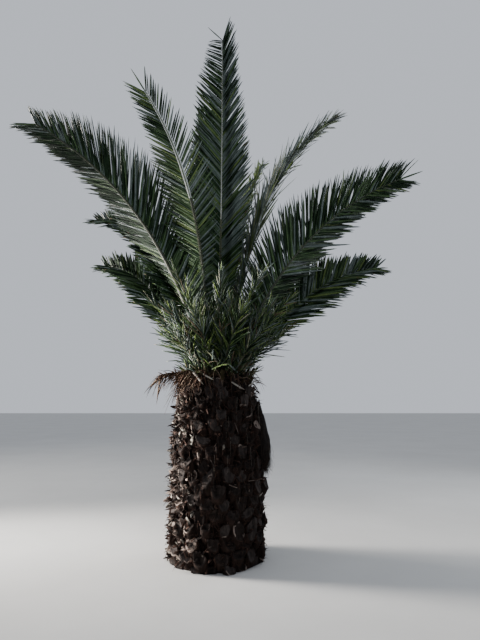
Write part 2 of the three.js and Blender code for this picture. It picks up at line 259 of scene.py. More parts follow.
def closed_tube(rings, around):
    """Faces of a tube whose last two corners close its foot and its tip."""
    foot = rings * around
    caps = [fan(0, around, foot, inward=True), fan(foot - around, around, foot + 1)]
    return tube_faces(rings, around), np.concatenate(caps)


# ---- Materials
def new_node(tree, kind, **values):
    """A node, with values for its inputs."""
    node = tree.nodes.new("ShaderNode" + kind)
    for socket, value in values.items():
        node.inputs[socket.replace("_", " ")].default_value = value
    return node


def set_stops(ramp, *stops):
    """Places and colours of the ends of a colour ramp."""
    for element, (position, colour) in zip(ramp.color_ramp.elements, stops):
        element.position = position
        element.color = (*colour, 1)


def shade(name, dark, light, scale, roughness, bump=0.0, bump_scale=60, stretch=(1, 1, 1), **sockets):
    """A surface whose colour and roughness follow one noise, with relief from a finer one."""
    material = bpy.data.materials.new(name)
    material.use_nodes = True
    tree = material.node_tree
    link = tree.links.new
    tree.nodes.clear()
    out = new_node(tree, "OutputMaterial")
    surface = new_node(tree, "BsdfPrincipled", **sockets)
    link(surface.outputs["BSDF"], out.inputs["Surface"])
    place = new_node(tree, "TexCoord")
    mapping = new_node(tree, "Mapping", Scale=stretch)
    link(place.outputs["Object"], mapping.inputs["Vector"])
    coarse = new_node(tree, "TexNoise", Scale=scale, Detail=6, Roughness=0.65)
    link(mapping.outputs["Vector"], coarse.inputs["Vector"])
    ramp = new_node(tree, "ValToRGB")
    set_stops(ramp, (0.32, dark), (0.68, light))
    link(coarse.outputs["Fac"], ramp.inputs["Fac"])
    link(ramp.outputs["Color"], surface.inputs["Base Color"])
    spread = new_node(tree, "MapRange", To_Min=max(0.05, roughness - 0.12), To_Max=min(1.0, roughness + 0.12))
    link(coarse.outputs["Fac"], spread.inputs["Value"])
    link(spread.outputs["Result"], surface.inputs["Roughness"])
    if bump:
        fine = new_node(tree, "TexNoise", Scale=bump_scale, Detail=5)
        link(mapping.outputs["Vector"], fine.inputs["Vector"])
        relief = new_node(tree, "Bump", Strength=bump, Distance=0.004)
        link(fine.outputs["Fac"], relief.inputs["Height"])
        link(relief.outputs["Normal"], surface.inputs["Normal"])
    return material


LEAF = {"bump": 0.25, "bump_scale": 260, "Specular_IOR_Level": 0.42}
DULL_LEAF = {**LEAF, "Specular_IOR_Level": 0.15}
LEAF_SHADES = [
    # leaf_deep_and_painted_shade is partly dark green leaflets, partly painted shade: the more of it a
    # frond's shares hold, the darker it looks as if in shade
    shade("leaf_deep_and_painted_shade", (0.004, 0.014, 0.005), (0.017, 0.040, 0.015), 9, 0.62, **DULL_LEAF),
    shade("leaf_green", (0.018, 0.048, 0.012), (0.060, 0.116, 0.034), 9, 0.48, **LEAF),
    # leaf_grey_and_painted_sheen is partly the leaflets' grey-green, partly painted sky reflection: its pale
    # blue-grey stands for sheen highlights
    shade("leaf_grey_and_painted_sheen", (0.056, 0.084, 0.072), (0.150, 0.186, 0.172), 9, 0.38, **LEAF),
    shade("leaf_yellow", (0.064, 0.112, 0.020), (0.140, 0.200, 0.048), 9, 0.54, **LEAF),
    shade("leaf_brown", (0.070, 0.050, 0.028), (0.150, 0.110, 0.060), 9, 0.75, **LEAF),
    shade("leaflet_base", (0.110, 0.120, 0.070), (0.240, 0.250, 0.160), 14, 0.55, **LEAF),
    shade("leaf_gold", (0.135, 0.215, 0.030), (0.290, 0.400, 0.080), 9, 0.56, **LEAF),
]
DEEP_AND_SHADE, GREEN, GREY_AND_SHEEN, YELLOW, BROWN, PALE_BASE, GOLD = range(7)
RIB = {"bump": 0.25, "bump_scale": 90, "stretch": (1, 1, 0.15)}
RACHIS_SHADES = [
    shade("rachis_pale", (0.330, 0.350, 0.335), (0.600, 0.620, 0.610), 12, 0.50, **RIB),
    shade("rachis_green", (0.034, 0.054, 0.018), (0.080, 0.110, 0.042), 12, 0.55, **RIB),
    shade("rachis_dark", (0.012, 0.018, 0.007), (0.036, 0.042, 0.018), 12, 0.60, **RIB),
]
PALE, MIDDLE, DARK = range(3)


def bark(name, dark, light, scale, roughness, bump, bump_scale, drawn_out=1.0, specular=0.08):
    """A shade of bark or dead fibre, whose grain is drawn out upwards."""
    return shade(name, dark, light, scale, roughness, bump, bump_scale, (1, 1, drawn_out),
                 Specular_IOR_Level=specular)


BARK_SHADES = [
    bark("boot_skin", (0.004, 0.003, 0.0025), (0.034, 0.021, 0.017), 26, 0.90, 0.9, 120, 0.22),
    # boot_cut_pale, boot_cut_grey and boot_cut serve as one cut face painted lit, in part shade and in shade
    bark("boot_cut_pale", (0.050, 0.036, 0.029), (0.330, 0.265, 0.230), 30, 0.85, 0.9, 260, 0.35),
    bark("boot_cut", (0.005, 0.0038, 0.0034), (0.034, 0.026, 0.023), 30, 0.90, 0.9, 260, 0.35),
    # The core's near-black colour is partly dark dead fibre, partly painted shade in the gaps between the
    # boots
    bark("bark_hollow_and_painted_shade", (0.003, 0.002, 0.0015), (0.014, 0.008, 0.006), 30, 0.95, 1.0, 90, 0.15),
    bark("bark_fibre", (0.012, 0.007, 0.005), (0.095, 0.056, 0.044), 30, 0.90, 0.4, 200, 0.3),
    bark("stalk_green", (0.010, 0.009, 0.004), (0.046, 0.038, 0.018), 26, 0.80, 0.6, 120, 0.2),
    bark("boot_cut_grey", (0.007, 0.006, 0.0055), (0.066, 0.054, 0.050), 30, 0.90, 0.9, 260, 0.30),
    bark("strap_pale", (0.160, 0.140, 0.115), (0.460, 0.430, 0.380), 26, 0.75, 0.4, 160),
]
SKIN, CUT_PALE, CUT, HOLLOW_AND_SHADE, FIBRE, STALK, CUT_GREY, STRAP = range(8)
DEAD_SHADES = [
    bark("dead_sheet", (0.003, 0.003, 0.003), (0.020, 0.016, 0.015), 18, 0.95, 0.9, 160, 0.12),
    bark("dead_thread", (0.008, 0.006, 0.005), (0.050, 0.036, 0.029), 30, 0.90, 0.4, 200, specular=0.1),
    bark("dead_leaf", (0.018, 0.009, 0.006), (0.120, 0.070, 0.048), 24, 0.85, 0.4, 200, specular=0.1),
    bark("dead_leaf_pale", (0.090, 0.062, 0.042), (0.300, 0.230, 0.170), 24, 0.85, 0.4, 200, specular=0.1),
]
SHEET, THREAD, DRY, DRY_PALE = range(4)


# ---- Fronds
class Frond:
    """The course of a rachis, by the solids' rule."""

    def __init__(self, row, petiole):
        seat_radius, seat_heading, self.heading, self.rise, self.arch, self.bend = row[:6]
        self.drift, self.twist, self.length, self.leaflet = row[6:]
        self.petiole = petiole
        seat = on_cylinder(seat_radius, math.radians(seat_heading), ROOT_HEIGHT - ROOT_SLOPE * seat_radius)
        middles = (np.arange(PATH_STEPS) + 0.5) / PATH_STEPS
        steps = self.direction(middles) * self.length / PATH_STEPS
        self.path = np.concatenate([[seat], seat + np.cumsum(steps, 0)])

    def direction(self, t):
        rise = np.radians(self.rise - self.arch * np.asarray(t, float) ** self.bend)
        heading = np.radians(self.heading + self.drift * np.asarray(t, float))
        return np.stack([np.cos(rise) * np.cos(heading), np.cos(rise) * np.sin(heading), np.sin(rise)], -1)

    def frame(self, t):
        t = np.asarray(t, float)
        stations = np.linspace(0, 1, PATH_STEPS + 1)
        point = np.stack([np.interp(t, stations, self.path[:, i]) for i in range(3)], -1)
        forward = self.direction(t)
        level = unit(forward * (1, 1, 0))
        across = np.stack([level[..., 1], -level[..., 0], np.zeros(t.shape)], -1)
        up = np.cross(across, forward)
        twist = np.radians(self.twist * smoothstep(t, 0, TWIST_SHARE))
        return point, forward, rotated(up, forward, twist), rotated(across, forward, twist)


def leaflet_share(u):
    low = SPINE_SHARE + (1 - SPINE_SHARE) * smoothstep(u, 0, FULL_LEAFLET_AT)
    high = 1 + (TIP_SHARE - 1) * np.clip((u - FULL_LEAFLET_AT) / (1 - FULL_LEAFLET_AT), 0, 1) ** TIP_FADE
    return np.where(u < FULL_LEAFLET_AT, low, high)


# Outline of a leaflet: share of its full width at stations along it
BLADE_STATIONS = [0, 0.04, 0.12, 0.30, 0.60, 0.85, 1]
BLADE_WIDTHS = [0.70, 0.80, 0.94, 1.00, 0.92, 0.62, 0.0]


def blade_faces(rings):
    """A folded blade: rings of left edge, fold, right edge and keel, closed to a point at the tip."""
    quads = np.concatenate([tube_faces(rings, 4), [[3, 2, 1, 0]]])
    return quads, fan((rings - 1) * 4, 4, rings * 4)


def blades(root, direction, normal, length, width, droop, curl, fold_scale=1.0, rings=LEAFLET_RINGS):
    """Corners of folded blades. All arguments are per blade."""
    stations = np.concatenate([[0, 0.035], np.linspace(0.12, 0.9, rings - 2)])
    s = np.append(stations, 1.0)
    side = unit(np.cross(direction, normal))
    along = s[None, :, None] * length[:, None, None]
    centre = root[:, None] + direction[:, None] * along
    centre = centre + normal[:, None] * (curl * length)[:, None, None] * (s**2)[None, :, None]
    centre[..., 2] -= (droop * length)[:, None] * (s**2.2)[None]
    w = np.interp(s, BLADE_STATIONS, BLADE_WIDTHS)[None] * width[:, None] / 2
    fold = np.radians(np.interp(s, [0, 0.3, 1], LEAFLET_FOLD)) * fold_scale
    out = side[:, None] * (w * np.cos(fold))[..., None]
    lift = normal[:, None] * (w * np.sin(fold))[..., None]
    keel = normal[:, None] * BLADE_THICKNESS * (1 - 0.7 * s)[None, :, None]
    corners = np.stack([centre + out + lift, centre, centre - out + lift, centre - keel], 2)
    body = corners[:, :-1].reshape(len(root), -1, 3)
    return np.concatenate([body, centre[:, -1:]], 1)


def leaflet_stations(length, pitches):
    """Shares of the leafy length at which pairs stand, closer near the foot."""
    u = [0.0]
    while u[-1] < 1:
        u.append(u[-1] + np.interp(u[-1], [0, 0.5, 1], pitches) / length)
    return np.array(u[:-1])


def splayed(forward, across, up, splay, side, lift):
    """Directions that leave a rib to one side."""
    return unit(forward * np.cos(splay)[:, None] + across * (side * np.sin(splay))[:, None]
                + up * lift[:, None])


def grow_leaflets(batch, frond, tints, pitches=LEAFLET_PITCHES, width=LEAFLET_WIDTH, spreads=(1.0, 1.0),
                  splays=(SPLAY_ANGLES, SPLAY_ANGLES), scatter=1.0, tip_turn=0.0, shortest=0.80,
                  beads=0.10, lifts=RANK_LIFTS, low_lifts=(LOW_LIFT, LOW_LIFT), feet=(1.0, 1.0),
                  tips=(1.0, 1.0), every=(1, 1), rings=LEAFLET_RINGS):
    """Both ranks of leaflets along one frond. tints gives each rank its shares of the leaf shades, either
    one list for the whole frond or one for the foot and one for the tip. spreads, feet and tips scale a
    rank's leaflets everywhere, at the foot and at the tip. beads is the share with a pale base."""
    leafy = frond.length - frond.petiole
    u = leaflet_stations(leafy, pitches)
    quads, triangles = blade_faces(rings)
    n = len(u)
    ranks = zip((-1, 1), tints, splays, spreads, low_lifts, feet, tips, every)
    for side, tint_shares, angles, spread, low_lift, foot, tip, step in ranks:
        place = np.clip(u + rng.normal(0, 0.15 / n, n), 0.0, 0.998)
        t = (frond.petiole + place * leafy) / frond.length
        point, forward, up, across = frond.frame(t)
        half_width = np.interp(t, RACHIS_STATIONS, RACHIS_WIDTHS) / 2
        rank = rng.integers(0, 3, n)
        stations = np.linspace(0, 1, len(angles)) if len(angles) != 3 else SPLAY_STATIONS
        splay = np.radians(np.interp(place, stations, angles) + rng.normal(0, 3.0 * scatter, n))
        lift = np.asarray(lifts)[rank] + low_lift * (1 - place) ** 2 + rng.normal(0, 0.09 * scatter, n)
        direction = splayed(forward, across, up, splay, side, lift)
        length = frond.leaflet * leaflet_share(place) * spread * rng.uniform(shortest, 1.0, n)
        length = length * (1 + (tip - 1) * smoothstep(place, 0.72, 1))
        length = length * (foot + (1 - foot) * smoothstep(place, 0.25, 0.6))
        root = point + across * (side * half_width * 0.4)[:, None]
        normal = rotated(square_to(up, direction), direction, rng.normal(0, 0.24, n) + side * LEAFLET_TURN)
        full = width * np.interp(place, [0, 0.10, 0.3, 0.8, 1], [0.35, 0.55, 1, 0.95, 0.75])
        full = full * rng.uniform(0.85, 1.1, n)
        sag = LEAFLET_DROOP * rng.uniform(0.3, 1.7, n)
        curl = rng.normal(0.0, 0.02, n)
        corners = blades(root, direction, normal, length, full, sag, curl, rings=rings)
        kept = (corners[:, -1, 2] > LEAF_FLOOR) & (corners[:, -1, 1] > FRONT_REACH)
        kept = kept & (np.arange(n) % step == 0)
        at_foot, at_tip = tint_shares if isinstance(tint_shares, tuple) else (tint_shares, tint_shares)
        shares = np.array(at_foot) + np.outer(smoothstep(place, 0.1, 0.5), np.array(at_tip) - at_foot)
        tint = (np.cumsum(shares, 1)[:, :-1] <= rng.random((n, 1))).sum(1)
        slots = np.repeat(tint[:, None], len(quads), 1)
        slots[rng.random(n) < beads, :4] = PALE_BASE
        tip_slots = np.where(rng.random(n) < BROWN_TIPS, BROWN, tint)[:, None]
        batch.add(corners[kept], quads, triangles, slots[kept], tip_slots[kept])
    end, forward, up, _ = frond.frame(np.array([1.0]))
    forward = rotated(forward, up, np.array([math.radians(tip_turn)]))
    last = blades(end, forward, up, np.array([frond.leaflet * TIP_SHARE]), np.array([width * 0.7]),
                  np.zeros(1), np.zeros(1), rings=rings)
    batch.add(last, quads, triangles, GREEN)


def grow_spines(batch, frond, reach=0.75, longest=0.20):
    """Stiff spines along the foot of a frond, which stand off on every side of it but the lower."""
    n = int(reach / SPINE_PITCH) * 2
    distance = rng.uniform(0.05, 1.0, n) * reach
    point, forward, up, across = frond.frame(distance / frond.length)
    side = np.where(np.arange(n) % 2, -1, 1)
    splay = np.radians(rng.uniform(12, 75, n))
    direction = splayed(forward, across, up, splay, side, rng.uniform(-0.2, 1.0, n))
    normal = unit(np.cross(direction, rng.normal(size=(n, 3))))
    length = longest * rng.uniform(0.3, 1.0, n) * (0.5 + 0.7 * distance / reach)
    corners = blades(point + across * (side * 0.014)[:, None], direction, normal, length,
                     rng.uniform(0.008, 0.016, n), np.zeros(n), rng.normal(0, 0.02, n), rings=COARSE_RINGS)
    quads, triangles = blade_faces(COARSE_RINGS)
    tint = rng.choice([DEEP_AND_SHADE, GREEN, YELLOW, GREY_AND_SHEEN], n, p=[0.35, 0.35, 0.15, 0.15])
    slots = np.repeat(tint[:, None], len(quads), 1)
    slots[rng.random(n) < 0.4, :4] = PALE_BASE
    batch.add(corners, quads, triangles, slots, BROWN)


# A rachis is broad and flatter above at its foot, and a slender ridge towards its tip
RACHIS_AROUND = 10
RACHIS_SEAM = 7
FOOT_SWELL = 0.7


def add_rachis(batch, frond, slot, girth=1.0, clear_from=0.15, rings=64):
    """The rib of a frond. Its girth and its shade begin at the share clear_from of its length."""
    t = np.linspace(0, 1, rings)
    point, _, up, across = frond.frame(t)
    swell = FOOT_SWELL * (1 - smoothstep(t * frond.length, 0, 0.30))
    girth = 0.5 + (girth - 0.5) * smoothstep(t, clear_from - 0.1, clear_from + 0.1)
    width = girth * np.interp(t, RACHIS_STATIONS, RACHIS_WIDTHS) / 2 * (1 + swell)
    depth = girth * np.interp(t, RACHIS_STATIONS, RACHIS_DEPTHS) / 2 * (1 + swell * 0.4)
    psi = circle(RACHIS_AROUND)
    x = np.cos(psi) * width[:, None]
    y = np.sin(psi) * np.where(np.sin(psi) > 0, 0.75, 1.0) * depth[:, None]
    corners = point[:, None] + across[:, None] * x[..., None] + up[:, None] * y[..., None]
    quads, caps = closed_tube(rings, RACHIS_AROUND)
    slots = np.full(len(quads), slot)
    if slot == PALE:
        slots[RACHIS_SEAM::RACHIS_AROUND] = MIDDLE
    slots[: int(clear_from * rings) * RACHIS_AROUND] = DARK
    points = np.concatenate([corners.reshape(-1, 3), point[:1], point[-1:]])
    batch.add(points[None], quads, caps, slots, slot)


COMMON = [0.36, 0.40, 0.19, 0.05, 0.0]
GOLDEN = [0.0, 0.16, 0.12, 0.40, 0.0, 0.04, 0.28]
GREENER = [0.08, 0.34, 0.28, 0.27, 0.0, 0.0, 0.03]
MOTTLED = [0.27, 0.20, 0.25, 0.12, 0.04, 0.09, 0.03]
# Painted light: mostly pale shades for the tall right frond, which is lit from behind, partly its own paler
# green
PALE_AND_PAINTED_LIGHT = [0.0, 0.0, 0.64, 0.14, 0.0, 0.16, 0.06]
SILVERY = [0.34, 0.32, 0.28, 0.06, 0.0]
GREYER = [0.34, 0.33, 0.29, 0.04, 0.0]
# Mostly leaf_grey_and_painted_sheen: painted sheen on one rank of the tall centre frond
MOSTLY_PAINTED_SHEEN = [0.22, 0.16, 0.58, 0.04, 0.0]
FRESH = [0.36, 0.32, 0.24, 0.08, 0.0]
OLIVE = [0.16, 0.60, 0.10, 0.14, 0.0]
LIT = [0.54, 0.20, 0.22, 0.04, 0.0]
SHADED = [0.70, 0.12, 0.16, 0.02, 0.0]
DIM = [0.54, 0.22, 0.20, 0.04, 0.0]
BROKEN = [0.34, 0.28, 0.28, 0.10, 0.0]
GROUPS = {
    "leaflets_left": ["left_long", "left_upright", "left_drooping", "left_low"],
    "leaflets_centre": ["centre_tall", "centre_behind"],
    "leaflets_right": ["right_behind", "right_tall", "right_long", "right_low"],
    "leaflets_back": ["back_left", "back_middle", "back_right",
                      "back_low_left", "back_low_middle", "back_low_right"],
    "leaflets_short": ["left_short", "front_left_short", "front_short", "front_right_short", "right_short"],
}
# Shades of single fronds, for each of the two ranks, and of a rank's foot and tip where they differ
TINTS = {
    "centre_tall": ((DIM, FRESH), (DIM, MOSTLY_PAINTED_SHEEN)), "left_long": (GREYER, (LIT, SHADED)),
    "left_upright": (SILVERY, OLIVE), "left_drooping": (GREYER, GREYER),
    "centre_behind": (GREENER, GREENER), "right_behind": (GOLDEN, GOLDEN),
    "right_tall": (PALE_AND_PAINTED_LIGHT, PALE_AND_PAINTED_LIGHT), "right_low": (BROKEN, BROKEN),
}
EVEN = {"lifts": (0.24, 0.36, 0.30), "rings": COARSE_RINGS}
# How the leaflets of single fronds differ from the rest
HABITS = {
    "centre_tall": {
        "splays": ([66, 62, 56, 52, 50, 50, 52, 64, 100], [62, 58, 52, 46, 42, 38, 33, 28, 18]),
        "spreads": (1.06, 1.08), "tip_turn": 42, "beads": 0.9, "low_lifts": (1.3, 0.4),
        "tips": (0.62, 1.25), "scatter": 0.55, "width": 0.027, "pitches": OPEN_PITCHES, **EVEN,
    },
    "left_upright": {
        "spreads": (1.20, 1.20), "beads": 0.9, "scatter": 0.45, "width": 0.026, "pitches": EVEN_PITCHES,
        "every": (2, 1), "feet": (0.35, 1.0), **EVEN,
    },
    "left_long": {
        "splays": ([60, 36, 26], [54, 38, 22]), "spreads": (1.34, 1.24), "pitches": CLOSE_PITCHES,
        "width": 0.030, "tips": (0.62, 1.25), "tip_turn": -26, "scatter": 0.7, **EVEN,
    },
    "right_long": {
        "splays": ([55, 37, 22], [60, 38, 24]), "spreads": (1.12, 1.20), "pitches": CLOSE_PITCHES,
        "width": 0.034, "rings": COARSE_RINGS,
    },
    "right_tall": {
        "splays": ([38, 19, 9], [38, 19, 9]), "spreads": (1.35, 1.35), "lifts": (-0.17, 0.0, 0.18),
    },
    "right_behind": {
        "splays": ([36, 20, 10], [36, 20, 10]), "spreads": (1.1, 1.1), "lifts": (-0.18, 0.02, 0.22),
    },
}
TUFTED = {
    "splays": ([38, 26, 14], [38, 26, 14]), "scatter": 2.4, "spreads": (1.35, 1.35), "shortest": 0.40,
    "beads": 0.05, "lifts": (-0.2, 0.2, 0.6), "rings": COARSE_RINGS,
}
# Shade and girth of a rachis, and the share of it at the foot that stays dark and slender
RACHIS_LOOKS = {
    # left_long's dark rib is painted shade: a pale rib seen in shadow
    "left_long": (DARK, 1.5, 0), "left_upright": (PALE, 2.7, 0.60), "centre_tall": (PALE, 1.3, 0.40),
    "right_long": (DARK, 0.8, 0), "right_low": (MIDDLE, 1.0, 0.2), "right_behind": (MIDDLE, 1.0, 0.2),
    "left_drooping": (MIDDLE, 0.9, 0.2), "left_low": (DARK, 0.9, 0), "right_tall": (MIDDLE, 0.6, 0.3),
}
NODES = sorted(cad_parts)


def nodes_of(name):
    """The nodes of one frond: one, or a lower and an outer half."""
    return [n for n in NODES if n in (f"frond_{name}", f"frond_{name}_lower", f"frond_{name}_outer")]


# Turn, rise and share of the length of the slimmer fronds in a tuft
TUFT = [(0, 0, 0.92), (-22, -9, 0.62), (19, -8, 0.70), (-9, 6, 0.64), (12, 7, 0.50), (-15, 2, 0.44),
        (4, -12, 0.52)]
SEAT_HEADING, HEADING, RISE, TWIST, LENGTH = 1, 2, 3, 7, 8


def tuft_of(row):
    """A short frond stands for a tuft: itself and slimmer ones that fan out from its seat."""
    for turn, steeper, share in TUFT:
        parts = list(row)
        parts[SEAT_HEADING] += turn * 1.2
        parts[HEADING] += turn + rng.normal(0, 5)
        parts[RISE] += steeper + rng.normal(0, 3)
        parts[TWIST] += rng.normal(0, 35)
        parts[LENGTH] *= share * TUFT_SHARE
        while Frond(parts, SHORT_PETIOLE).path[:, 1].min() < FRONT_REACH + 0.14:
            parts[LENGTH] *= 0.94
        yield Frond(parts, SHORT_PETIOLE)


stems = Batch()
for group, members in GROUPS.items():
    leaves = Batch()
    for name in members:
        if name.endswith("short"):
            for frond in tuft_of(FRONDS[name]):
                grow_leaflets(leaves, frond, (MOTTLED, MOTTLED), SHORT_PITCHES, SHORT_WIDTH, **TUFTED)
                grow_spines(leaves, frond, 0.30, 0.12)
                add_rachis(stems, frond, DARK, 0.34, rings=20)
        else:
            frond = Frond(FRONDS[name], GREEN_PETIOLE)
            grow_leaflets(leaves, frond, TINTS.get(name, (COMMON, COMMON)), **HABITS.get(name, {}))
            grow_spines(leaves, frond)
            add_rachis(stems, frond, *RACHIS_LOOKS.get(name, (MIDDLE, 1.0, 0.15)))
    replaced = [node for name in members for node in nodes_of(name)]
    leaves.finish(group, LEAF_SHADES, replaced)
stems.finish("rachises", RACHIS_SHADES)

# Stiff green spines and ends of old rachises round the rim, under the short fronds
spines = Batch()
n = 420
turn = rng.uniform(0, 2 * np.pi, n)
start = on_cylinder(rng.uniform(0.18, 0.33, n), turn, rng.uniform(1.66, 1.84, n))
direction = on_cylinder(rng.uniform(0.3, 1.0, n), turn + rng.normal(0, 0.5, n), rng.uniform(0.1, 1.0, n))
direction = unit(direction)
facing = unit(np.cross(direction, rng.normal(size=(n, 3))))
corners = blades(start, direction, facing, rng.uniform(0.08, 0.24, n), rng.uniform(0.007, 0.020, n),
                 rng.uniform(-0.1, 0.3, n), rng.normal(0, 0.06, n), rings=COARSE_RINGS)
tint = rng.choice([DEEP_AND_SHADE, GREEN, YELLOW, GREY_AND_SHEEN, BROWN, PALE_BASE], n, p=[0.28, 0.20, 0.12, 0.12, 0.16, 0.12])
spines.add(corners, *blade_faces(COARSE_RINGS), tint[:, None])
spines.finish("rim_spines", LEAF_SHADES)


# ---- Trunk: a core of dead fibre clad in old frond bases, each a thick half-round stub cut across
BOOT_AROUND = 18
BOOT_RINGS = 8
ROW_HEIGHT = TRUNK_HEIGHT / BOOT_ROWS


def boot_outline():
    """Half-round section: rounded below, nearly flat above, thin at the sides."""
    psi = circle(BOOT_AROUND)
    x = np.sign(np.cos(psi)) * np.abs(np.cos(psi)) ** 0.85
    y = np.where(np.sin(psi) < 0, np.sin(psi), 0.28 * np.sin(psi))
    return x, y


def add_boots(batch, angle, base, tip, steepness, width, thick, cut_rise, cut_turn, roll, skin, cut_slots):
    """Old frond bases from inside the core to a cut. base and tip are (out, height) places per boot,
    steepness the slope at the cut, and cut_rise and cut_turn the way that the cut face looks.
    Returns the rims of the cuts and the way that each boot points."""
    count = len(angle)
    s = np.linspace(0, 1, BOOT_RINGS)
    radial = on_cylinder(1, angle, 0)
    side = np.cross(UP, radial)
    reach = np.linalg.norm(tip - base, axis=1)
    pull = tip - np.stack([np.cos(steepness), np.sin(steepness)], -1) * reach[:, None] * 0.5
    t = s[None, :, None]
    course = (1 - t) ** 2 * base[:, None] + 2 * t * (1 - t) * pull[:, None] + t**2 * tip[:, None]
    slope = unit(2 * (1 - t) * (pull - base)[:, None] + 2 * t * (tip - pull)[:, None])
    centre = radial[:, None] * course[..., :1] + UP * course[..., 1:]
    axis = radial[:, None] * slope[..., :1] + UP * slope[..., 1:]
    upper = UP * slope[..., :1] - radial[:, None] * slope[..., 1:]
    across = np.broadcast_to(side[:, None], axis.shape)
    turn = np.broadcast_to(roll[:, None], slope.shape[:2])
    across, upper = rotated(across, axis, turn), rotated(upper, axis, turn)
    x, y = boot_outline()
    w = width[:, None] * np.interp(s, [0, 0.5, 1], [1.15, 1.06, 0.96])[None] / 2
    h = thick[:, None] * np.interp(s, [0, 0.5, 1], [1.3, 1.15, 1.0])[None]
    corners = (centre[:, :, None] + across[:, :, None] * (w[..., None] * x)[..., None]
               + upper[:, :, None] * (h[..., None] * y)[..., None])
    cut = unit(radial * np.cos(cut_rise)[:, None] + UP * np.sin(cut_rise)[:, None]
               + side * np.tan(cut_turn)[:, None])
    end_axis = axis[:, -1]
    slant = ((centre[:, -1:] - corners[:, -1]) * cut[:, None]).sum(-1) / (end_axis * cut).sum(-1)[:, None]
    share = np.interp(s, [0, 0.35, 1], [0, 0.25, 1])
    corners = corners + end_axis[:, None, None] * (slant[:, None] * share[None, :, None])[..., None]
    outward = unit(corners - centre[:, :, None])
    rough = noise(corners + 3, 0.040) * 0.008 + noise(corners * (1, 1, 0.35) + 7, 0.011) * 0.005
    rough = rough * np.interp(s, [0, 0.6, 1], [0.6, 0.8, 1.3])[None, :, None]
    corners = corners + outward * rough[..., None]
    torn = noise(corners[:, -1] + 21, 0.020) * 0.012 + noise(corners[:, -1] + 29, 0.008) * 0.006
    corners[:, -1] += end_axis[:, None] * np.minimum(torn, 0.004)[..., None]
    end = corners[:, -1]
    middle = end.mean(1, keepdims=True)
    rings = []
    hollow = rng.choice([0.15, 0.6, 1.0], count)[:, None]
    for inset, depth in ((0.78, 0.001), (0.64, 0.014), (0.32, 0.022)):
        uneven = inset * (1 + 0.16 * noise(end + 17, 0.018))
        ring = middle + (end - middle) * uneven[..., None]
        ring = ring - cut[:, None] * (depth * hollow + noise(ring + 11, 0.012) * 0.005)[..., None]
        rings.append(ring)
    pit = middle - cut[:, None] * 0.022 * hollow[..., None]
    points = np.concatenate([corners.reshape(count, -1, 3), *rings, pit], 1)
    keep_above(points, 0.0)
    n = BOOT_AROUND
    total = BOOT_RINGS + len(rings)
    quads = tube_faces(total, n)
    on_cut = (BOOT_RINGS - 1) * n
    faces = np.full((count, len(quads)), skin)
    # Deeper hollows get the darker cut shade: partly the darker rotted inside, partly painted shade in the
    # recess
    face = np.where(hollow[:, 0] < 0.5, CUT_GREY, CUT)
    faces[:, on_cut:] = face[:, None]
    # An arc of each cut's rim, and the whole cut of one boot in ten, take cut_slots, which carry painted
    # light: pale on the lit side
    off = np.abs((np.arange(n)[None] - rng.uniform(0, n, (count, 1)) + n / 2) % n - n / 2)
    rim = np.where(off < rng.uniform(0.5, n / 5, (count, 1)), cut_slots[:, None], face[:, None])
    faces[:, on_cut:on_cut + n] = rim
    whole = rng.random(count) < 0.10
    faces[whole, on_cut:] = cut_slots[whole, None]
    batch.add(points, quads, fan((total - 1) * n, n, total * n), faces, face[:, None])
    return end, end_axis


boots = Batch()
columns, rows = np.meshgrid(np.arange(BOOTS_ROUND), np.arange(-1, BOOT_ROWS), indexing="ij")
columns, rows = columns.ravel(), rows.ravel()
count = len(rows)
boot_angle = 2 * np.pi * (columns - 0.5 + BOOT_SHEAR * (rows + 1)) / BOOTS_ROUND + rng.normal(0, 0.030, count)
boot_height = (rows + 1) * ROW_HEIGHT + rng.normal(0, 0.010, count)
young = smoothstep(boot_height, 1.10, 1.62)
tip_height = boot_height + 0.045 - 0.045 * smoothstep(boot_height, 1.45, 1.66)
radius = trunk_radius(np.clip(tip_height, 0, TRUNK_HEIGHT))
reach = radius - 0.022 - rng.uniform(0.0, 0.026, count) - 0.03 * smoothstep(boot_height, 1.55, 1.66)
reach = reach + np.where(rng.random(count) < 0.35, rng.uniform(0.0, 0.026, count), 0) * (boot_height > 0.05)
base = np.stack([radius - 0.125, tip_height - 0.15 - 0.03 * young], -1)
tip = np.stack([reach, tip_height], -1)
steep = np.radians(rng.normal(59, 5, count) + 14 * young)
wide = (0.124 - 0.018 * young) * rng.uniform(0.80, 1.12, count)
thick = (0.058 - 0.014 * young) * rng.uniform(0.75, 1.20, count)
cut_rise = np.radians(np.clip(rng.normal(14, 10, count), -4, 45))
cut_turn = rng.normal(0, 0.16, count)
roll = rng.normal(0, 0.13, count)
# Painted light: cut faces at the left, the side the key lamp lights, are pale far more often than on the
# shaded side
painted_light_share = np.clip(0.25 - 0.40 * np.cos(boot_angle), 0.15, 0.60)
cut_slots = np.where(rng.random(count) < painted_light_share, CUT_PALE, CUT)
boot_rims, boot_ways = add_boots(boots, boot_angle, base, tip, steep, wide, thick, cut_rise, cut_turn, roll,
                                 SKIN, cut_slots)
boots.finish("trunk_boots", BARK_SHADES)

